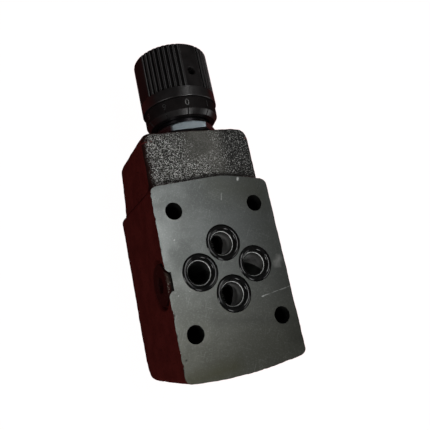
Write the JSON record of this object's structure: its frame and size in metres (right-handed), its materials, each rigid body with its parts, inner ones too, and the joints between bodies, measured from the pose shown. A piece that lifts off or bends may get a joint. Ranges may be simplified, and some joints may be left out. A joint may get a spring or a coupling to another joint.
{
  "type": "hydraulic sandwich valve",
  "caption": "Size 03 hydraulic sandwich valve: an iron body ported between two flat faces, with a spring-loaded relief spool set by a ribbed knob and scale ring.",
  "frame": {"origin": "centre of the port pattern on the back face, on which the valve rests", "axes": "+X across the body, +Y along the valve axis toward the knob, +Z out of the port face"},
  "size_m": [0.0454, 0.1198, 0.0413],
  "materials": {
    "phosphated_iron": "satin",
    "zinc_plated_steel": "satin",
    "blackened_steel": "satin",
    "bright_steel": "satin",
    "black_plastic": "satin",
    "black_rubber": "satin",
    "white_ptfe": "matte"
  },
  "bodies": {
    "housing": {"valve_body": "phosphated_iron", "port_ring_a": "black_rubber", "port_ring_b": "black_rubber", "port_ring_p": "black_rubber", "port_ring_t": "black_rubber", "side_plug": "blackened_steel", "side_plug_seal": "black_rubber", "main_spring": "bright_steel", "adjuster_sleeve": "zinc_plated_steel", "sleeve_seal": "black_rubber"},
    "spool": {"control_spool": "bright_steel", "lower_spring_plate": "bright_steel"},
    "spring_seat": {"upper_spring_plate": "bright_steel", "thrust_ball": "bright_steel"},
    "adjuster": {"spindle": "bright_steel", "spindle_seal": "black_rubber", "spindle_backup_ring": "white_ptfe", "scale_ring": "black_plastic", "knob": "black_plastic", "set_screw": "bright_steel"}
  },
  "joints": [
    {"name": "spool_lift", "type": "slide", "parent": "housing", "child": "spool", "axis": [0, 1, 0], "range_m": [0, 0.004], "stiffness_N_per_m": 12000, "springref_m": -0.003, "deforming": ["main_spring"]},
    {"name": "spindle_advance", "type": "slide", "parent": "housing", "child": "spring_seat", "axis": [0, 1, 0], "range_m": [-0.0015, 0.0015], "deforming": ["main_spring"]},
    {"name": "knob_turn", "type": "hinge", "parent": "spring_seat", "child": "adjuster", "pos_m": [0, 0.07, 0.027], "axis": [0, 1, 0], "range_deg": [-540, 540]}
  ],
  "couplings": [
    {"joint": "knob_turn", "follows": "spindle_advance", "rad_per_m": 6283.2}
  ]
}
